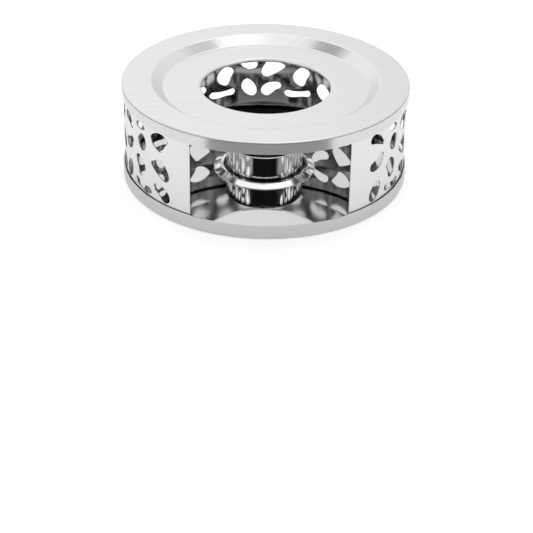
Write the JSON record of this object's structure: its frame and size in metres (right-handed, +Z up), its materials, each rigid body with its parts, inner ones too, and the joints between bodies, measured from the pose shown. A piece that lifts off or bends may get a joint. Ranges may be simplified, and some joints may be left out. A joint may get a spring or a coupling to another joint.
{
  "type": "teapot warmer",
  "caption": "Round metal teapot warmer: mirror-bright tray, pierced band with an open window, recessed cover with a central hole, and a flanged collar for a tealight.",
  "frame": {"origin": "on the table, under the middle of the warmer", "axes": "+Z up along the warmer's axis, -Y out through the window where the candle goes in"},
  "size_m": [0.1504, 0.1504, 0.053],
  "materials": {
    "brushed_steel": "straight fine brushed grain",
    "satin_steel": "satin outside, bright inside",
    "polished_steel": "mirror polished"
  },
  "bodies": {
    "root": {"base_tray": "polished_steel", "side_band": "satin_steel", "top_cover": "brushed_steel", "candle_holder": "polished_steel"}
  },
  "joints": []
}
